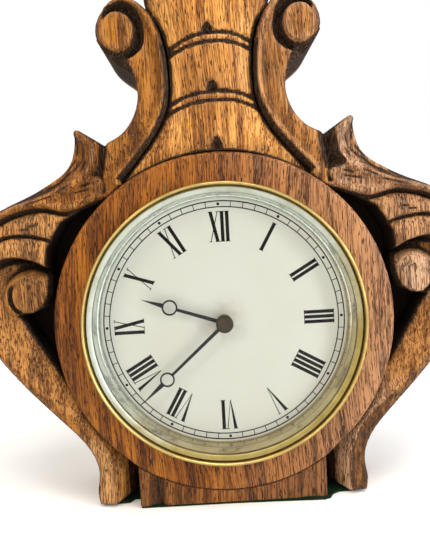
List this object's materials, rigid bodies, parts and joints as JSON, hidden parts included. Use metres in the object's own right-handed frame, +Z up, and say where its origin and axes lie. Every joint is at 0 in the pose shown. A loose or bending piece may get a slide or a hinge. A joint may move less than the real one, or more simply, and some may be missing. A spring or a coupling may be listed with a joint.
{
  "type": "mantel clock",
  "caption": "Carved oak mantel clock with scrolled wings, a turned disc round a brass-framed white dial, and a drum timepiece wound and set from behind.",
  "frame": {"origin": "middle of the object's box, on the table, at the underside of the felt", "axes": "+Z up, the dial faces -Y, +X to the right of someone facing the dial"},
  "size_m": [0.2002, 0.067, 0.213],
  "materials": {
    "oak": "satin varnished carved oak, golden orange, dark in the crevices",
    "dowel": "bare beech",
    "felt": "dark green baize",
    "aged_brass": "lacquered brass, toned with age",
    "polished_brass": "polished, silvery",
    "crystal": "clear",
    "dial_white": "white enamel, gloss",
    "plate_brass": "brushed brass",
    "steel": "ground steel",
    "spring_steel": "tempered steel",
    "screw_steel": "turned steel",
    "blued_steel": "blued almost black"
  },
  "bodies": {
    "case": {"left_wing": "oak", "right_wing": "oak", "case_body": "oak", "wing_dowels": "dowel", "crest": "oak", "crest_dowel": "dowel", "dial_disc": "oak", "base_block": "oak", "base_screws": "screw_steel", "felt_pad": "felt", "drum_can": "aged_brass", "bezel": "aged_brass", "glass": "crystal", "sight_ring": "polished_brass", "dial": "dial_white", "dial_feet": "plate_brass", "rear_ring": "aged_brass", "rear_ring_screws": "screw_steel", "back_cover": "aged_brass", "front_plate": "plate_brass", "back_plate": "plate_brass", "pillars": "plate_brass", "pillar_screws": "screw_steel", "click_screw": "screw_steel", "click_spring": "steel", "hairspring": "spring_steel", "balance_cock": "plate_brass", "cock_screw": "screw_steel", "minute_post": "steel"},
    "barrel_body": {"barrel": "plate_brass", "barrel_cover": "plate_brass", "mainspring": "spring_steel"},
    "winding_body": {"winding_arbor": "steel", "ratchet_wheel": "steel", "winding_key": "plate_brass"},
    "click_body": {"click": "steel"},
    "minute_body": {"centre_arbor": "steel", "cannon_pinion": "steel", "minute_hand": "blued_steel", "hand_boss": "blued_steel", "setting_knob": "plate_brass"},
    "motion_body": {"minute_wheel": "plate_brass"},
    "hour_body": {"hour_wheel": "plate_brass", "hour_hand": "blued_steel"},
    "centre_body": {"centre_wheel": "plate_brass"},
    "third_body": {"third_wheel": "plate_brass"},
    "fourth_body": {"fourth_wheel": "plate_brass"},
    "escape_body": {"escape_wheel": "steel"},
    "lever_body": {"pallet_lever": "steel"},
    "balance_body": {"balance": "plate_brass"},
    "regulator_body": {"regulator": "steel"}
  },
  "joints": [
    {"name": "minute_hand_turn", "type": "hinge", "parent": "case", "child": "minute_body", "pos_m": [0, -0.0075, 0.073], "axis": [0, 1, 0], "continuous": true},
    {"name": "motion_wheel_turn", "type": "hinge", "parent": "case", "child": "motion_body", "pos_m": [-0.01128, -0.0075, 0.0689], "axis": [0, 1, 0], "continuous": true},
    {"name": "hour_hand_turn", "type": "hinge", "parent": "case", "child": "hour_body", "pos_m": [0, -0.0075, 0.073], "axis": [0, 1, 0], "continuous": true},
    {"name": "centre_wheel_turn", "type": "hinge", "parent": "case", "child": "centre_body", "pos_m": [0, -0.0075, 0.073], "axis": [0, 1, 0], "continuous": true},
    {"name": "barrel_turn", "type": "hinge", "parent": "case", "child": "barrel_body", "pos_m": [-0.01446, -0.0075, 0.05576], "axis": [0, 1, 0], "continuous": true},
    {"name": "third_wheel_turn", "type": "hinge", "parent": "case", "child": "third_body", "pos_m": [0.009, -0.0075, 0.08859], "axis": [0, 1, 0], "continuous": true},
    {"name": "fourth_wheel_turn", "type": "hinge", "parent": "case", "child": "fourth_body", "pos_m": [0.02118, -0.0075, 0.08006], "axis": [0, 1, 0], "continuous": true},
    {"name": "escape_wheel_turn", "type": "hinge", "parent": "case", "child": "escape_body", "pos_m": [0.0246, -0.0075, 0.06731], "axis": [0, 1, 0], "continuous": true},
    {"name": "winding", "type": "hinge", "parent": "case", "child": "winding_body", "pos_m": [-0.01446, -0.0075, 0.05576], "axis": [0, -1, 0], "range_deg": [0, 1980]},
    {"name": "click_lift", "type": "hinge", "parent": "case", "child": "click_body", "pos_m": [-0.0252, -0.0075, 0.06196], "axis": [0, 1, 0], "range_deg": [0, 12]},
    {"name": "lever_rock", "type": "hinge", "parent": "case", "child": "lever_body", "pos_m": [0.02293, -0.0075, 0.05785], "axis": [0, 1, 0], "range_deg": [-5, 5]},
    {"name": "balance_swing", "type": "hinge", "parent": "case", "child": "balance_body", "pos_m": [0.01934, -0.0075, 0.04799], "axis": [0, 1, 0], "range_deg": [-135, 135]},
    {"name": "regulator_shift", "type": "hinge", "parent": "case", "child": "regulator_body", "pos_m": [0.01934, -0.0075, 0.04799], "axis": [0, 1, 0], "range_deg": [-22, 22]}
  ],
  "couplings": [
    {"joint": "motion_wheel_turn", "follows": "minute_hand_turn", "ratio": -0.33333},
    {"joint": "hour_hand_turn", "follows": "minute_hand_turn", "ratio": 0.083333},
    {"joint": "barrel_turn", "follows": "centre_wheel_turn", "ratio": -0.125},
    {"joint": "third_wheel_turn", "follows": "centre_wheel_turn", "ratio": -8},
    {"joint": "fourth_wheel_turn", "follows": "centre_wheel_turn", "ratio": 60},
    {"joint": "escape_wheel_turn", "follows": "centre_wheel_turn", "ratio": -600}
  ]
}
